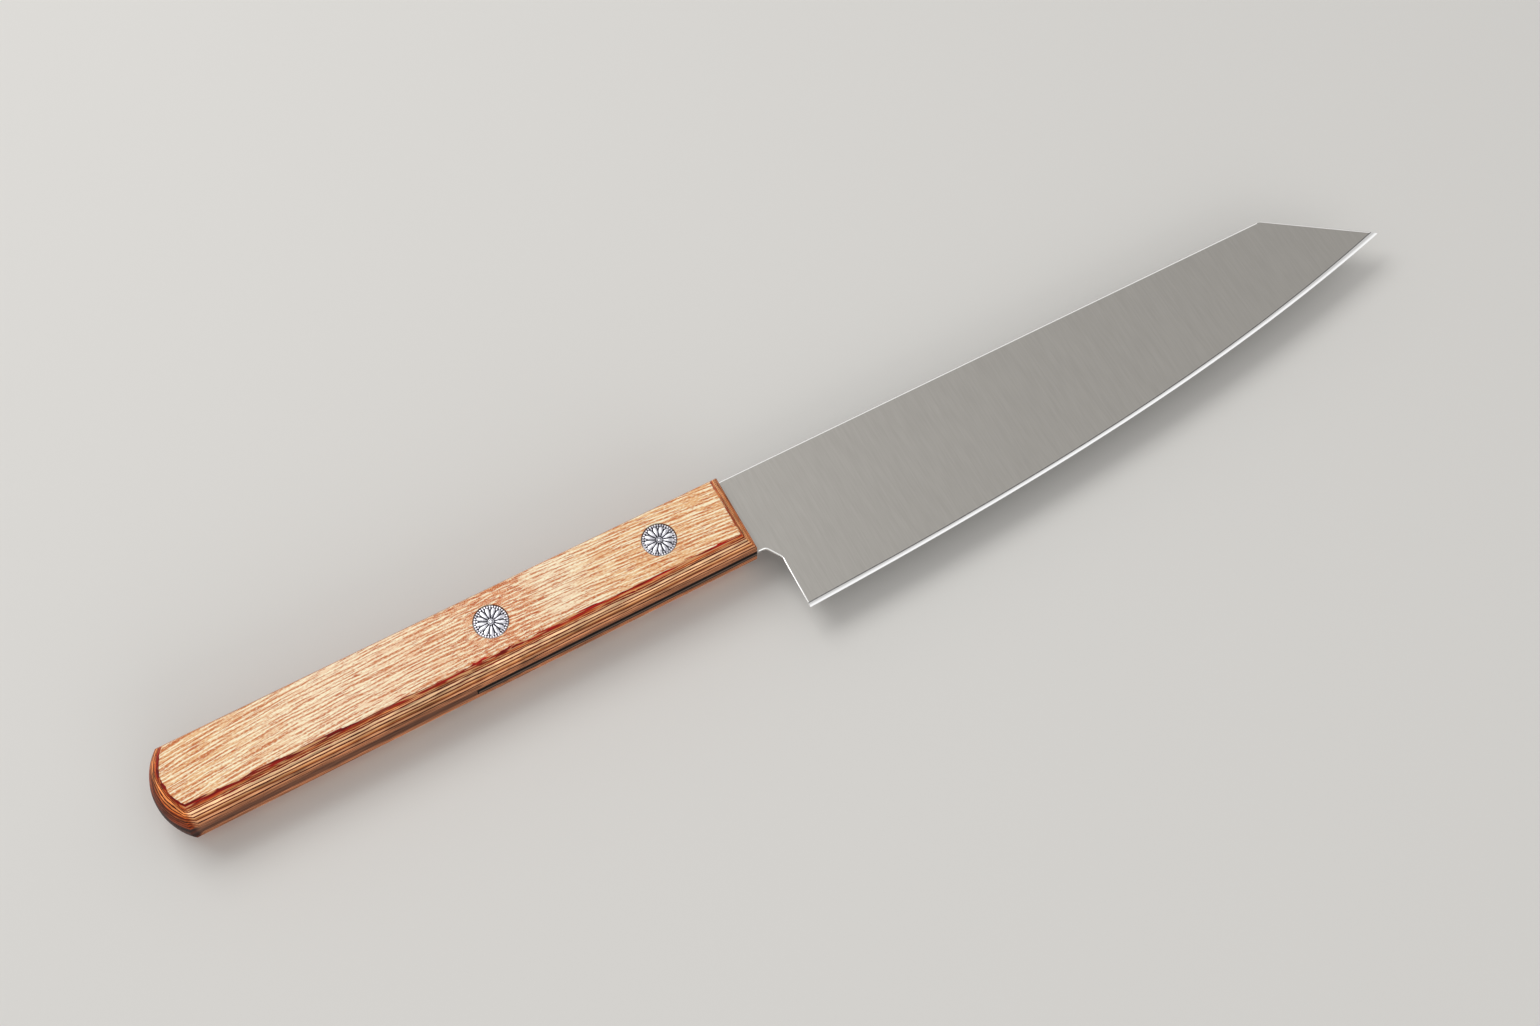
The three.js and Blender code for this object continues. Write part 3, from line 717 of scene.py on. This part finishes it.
def raise_form(mesh, inner, outer, width, taper, turn):
    """One raised, rounded form of the rosette, between two radii, standing on the head's ground."""
    height = GROUND_DEPTH - FORM_SINK
    middle = (inner + outer) / 2
    length = outer - inner
    ring = bmesh.ops.create_circle(mesh, cap_ends=True, segments=FORM_ROUND, radius=1.0)["verts"]
    for vertex in ring:
        vertex.co.y *= width / 2 * (1 - taper + taper * vertex.co.x)
        vertex.co.x = middle + vertex.co.x * length / 2
        vertex.co.z = -GROUND_DEPTH - FORM_SINK
    whole = list(ring)
    top = ring[0].link_faces[:]
    width_left = 1.0
    for step, (share, left) in enumerate(PILLOW):
        raised = bmesh.ops.extrude_face_region(mesh, geom=top)["geom"]
        if step > 0:
            # The first face stays as the form's foot. A later one would be left inside it.
            bmesh.ops.delete(mesh, geom=top, context="FACES_ONLY")
        verts = [part for part in raised if isinstance(part, bmesh.types.BMVert)]
        top = [part for part in raised if isinstance(part, bmesh.types.BMFace)]
        narrow = left / width_left
        drawn_in = width / 2 * (width_left - left) * PILLOW_DRAW
        for vertex in verts:
            vertex.co.z = -GROUND_DEPTH + height * share
            vertex.co.y *= narrow
            vertex.co.x = middle + (vertex.co.x - middle) * (1 - drawn_in / (length / 2))
        whole += verts
        width_left = left
    bmesh.ops.rotate(mesh, verts=whole, cent=(0, 0, 0), matrix=Matrix.Rotation(turn, 3, "Z"))


def struck_rivet(stem):
    """Half a rivet with its head upwards and its face at z 0. The stem is (radius, depth) pairs."""
    mesh = bmesh.new()
    ground = -GROUND_DEPTH
    collar = [
        (COLLAR_FOOT[0], ground), (COLLAR_TOP[0], -COLLAR_DEPTH),
        (COLLAR_TOP[1], -COLLAR_DEPTH), (COLLAR_FOOT[1], ground),
    ]
    rim = [(RIM_FOOT, ground), (RIM_TOP, -RIM_DEPTH), (HEAD_RADIUS, -CORNER_DEPTH)]
    profile = [(0, ground)] + collar + rim + [(HEAD_RADIUS, -HEAD_THICKNESS)]
    profile += [(radius, -depth) for radius, depth in stem]
    verts = [mesh.verts.new((radius, 0, height)) for radius, height in profile]
    edges = [mesh.edges.new(pair) for pair in zip(verts, verts[1:])]
    bmesh.ops.spin(
        mesh, geom=verts + edges, axis=(0, 0, 1), cent=(0, 0, 0), angle=math.tau,
        steps=RIVET_ROUND, use_merge=True,
    )
    bmesh.ops.remove_doubles(mesh, verts=mesh.verts, dist=MERGE_DISTANCE)
    for face in mesh.faces:
        on_ground = abs(face.calc_center_median().z - ground) < GROUND_TOLERANCE
        face.material_index = HOLLOW if on_ground else FORMED
    for i in range(PETALS):
        turn = math.tau * i / PETALS
        raise_form(mesh, *PETAL, turn)
        raise_form(mesh, *BEAD, turn + math.pi / PETALS)
        for j in range(TEETH):
            between = math.tau * (j + 0.5) / (PETALS * TEETH)
            raise_form(mesh, *TOOTH, turn + between)
    raise_form(mesh, *BUTTON, turn=0.0)
    bmesh.ops.recalc_face_normals(mesh, faces=mesh.faces)
    return mesh


# Bright nickel silver: struck in a die, polished, and a little tarnished since. It gives the eye a cool,
# pale shine with greyer patches.
nickel, tree, shader = new_material("bright_nickel_silver")
place = add_node(tree, "ShaderNodeTexCoord").outputs["Object"]
DIE_MARK = 0.4  # mm
marks = add_node(tree, "ShaderNodeTexNoise", inputs={
    "Vector": place, "Scale": 1 / (DIE_MARK * MM), "Detail": 2.0,
})
gloss = add_node(tree, "ShaderNodeMapRange", inputs={
    "Value": marks.outputs["Fac"], "To Min": 0.2, "To Max": 0.34,
})
tree.links.new(gloss.outputs["Result"], shader.inputs["Roughness"])
TARNISH = 0.9  # mm
tarnish = add_node(tree, "ShaderNodeTexNoise", inputs={
    "Vector": place, "Scale": 1 / (TARNISH * MM), "Detail": 1.0,
})
tone = add_node(tree, "ShaderNodeValToRGB", inputs={"Fac": tarnish.outputs["Fac"]})
set_ramp(tone, [(0.35, "#a9a8af"), (0.62, "#e2e1e6")])
tree.links.new(tone.outputs["Color"], shader.inputs["Base Color"])
shader.inputs["Metallic"].default_value = 1.0

# Darkened nickel silver: the ground between the petals, which the polishing doesn't reach. It is a blotchy
# blue-black that makes the petals stand out.
darkened, tree, shader = new_material("darkened_nickel_silver")
place = add_node(tree, "ShaderNodeTexCoord").outputs["Object"]
BLOTCH = 0.3  # mm
stain = add_node(tree, "ShaderNodeTexNoise", inputs={
    "Vector": place, "Scale": 1 / (BLOTCH * MM), "Detail": 2.0,
})
tone = add_node(tree, "ShaderNodeValToRGB", inputs={"Fac": stain.outputs["Fac"]})
set_ramp(tone, [(0.0, "#0c0b12"), (1.0, "#2a2933")])
tree.links.new(tone.outputs["Color"], shader.inputs["Base Color"])
shader.inputs["Metallic"].default_value = 0.6
shader.inputs["Roughness"].default_value = 0.55

for end in ("front", "rear"):
    for half in ("socket", "stud"):
        node = f"{end}_rivet_{half}"
        low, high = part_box(node)
        reach = high.z - low.z
        if half == "socket":
            stem = [(TUBE_RADIUS, HEAD_THICKNESS), (TUBE_RADIUS, reach), (TUBE_BORE, reach),
                    (TUBE_BORE, HEAD_THICKNESS), (0, HEAD_THICKNESS)]
        else:
            stem = [(SHANK_RADIUS, HEAD_THICKNESS), (SHANK_RADIUS, reach), (0, reach)]
        rivet = struck_rivet(stem)
        if half == "stud":
            turned_over = Matrix.Rotation(math.pi, 3, "X")
            bmesh.ops.rotate(rivet, verts=rivet.verts, cent=(0, 0, 0), matrix=turned_over)
        face_height = high.z if half == "socket" else low.z
        seat = ((low.x + high.x) / 2, (low.y + high.y) / 2, face_height)
        bmesh.ops.translate(rivet, verts=rivet.verts, vec=seat)
        finish_piece(f"{end}_struck_{half}", rivet, [nickel, darkened], node)


# Floor and light. A plain pale floor, white surroundings and two softboxes: the main one high on the spine
# side, and a weaker one low on the edge side that lights the handle's plies.
FLOOR_SIZE = 4.0  # m
SKY_LIGHT = 0.58  # of the surroundings on matt surfaces
SKY_SEEN = 1.0  # and as the camera and the metal see them
floor_mesh = bmesh.new()
bmesh.ops.create_grid(floor_mesh, x_segments=1, y_segments=1, size=FLOOR_SIZE / 2)
floor_data = bpy.data.meshes.new("floor")
floor_mesh.to_mesh(floor_data)
floor_mesh.free()
floor = bpy.data.objects.new("floor", floor_data)
scene.collection.objects.link(floor)

# Pale matt paper: an uncoated sheet that takes the knife's shadow and shines nowhere.
pale, tree, shader = new_material("pale_matt_paper")
shader.inputs["Base Color"].default_value = linear("#d8d6d2")
shader.inputs["Roughness"].default_value = 0.9
floor_data.materials.append(pale)

world = bpy.data.worlds.new("studio")
scene.world = world
world.use_nodes = True
tree = world.node_tree
tree.nodes.clear()
rays = add_node(tree, "ShaderNodeLightPath")
seen = add_node(tree, "ShaderNodeMath", {"operation": "MAXIMUM"}, {
    0: rays.outputs["Is Camera Ray"], 1: rays.outputs["Is Glossy Ray"],
})
seen_all = add_node(tree, "ShaderNodeMath", {"operation": "MAXIMUM"}, {
    0: seen.outputs["Value"], 1: rays.outputs["Is Transmission Ray"],
})
strength = add_node(tree, "ShaderNodeMapRange", inputs={
    "Value": seen_all.outputs["Value"], "To Min": SKY_LIGHT, "To Max": SKY_SEEN,
})
sky = add_node(tree, "ShaderNodeBackground", inputs={
    "Color": linear("#ffffff"), "Strength": strength.outputs["Result"],
})
add_node(tree, "ShaderNodeOutputWorld", inputs={"Surface": sky.outputs["Background"]})

# Each softbox has its width and depth in metres, its watts and its place. It faces the knife's middle.
for name, width, depth, energy, location in [
    ("key_softbox", 0.6, 0.4, 3.0, (-0.24, 0.45, 0.7)),
    ("fill_softbox", 0.8, 0.5, 1.5, (0.0, -0.75, 0.32)),
]:
    light_data = bpy.data.lights.new(name, "AREA")
    light_data.shape = "RECTANGLE"
    light_data.size = width
    light_data.size_y = depth
    light_data.energy = energy
    light = bpy.data.objects.new(name, light_data)
    light.location = location
    light.rotation_euler = (-light.location).to_track_quat("-Z", "Y").to_euler()
    scene.collection.objects.link(light)

scene.view_settings.view_transform = "Standard"
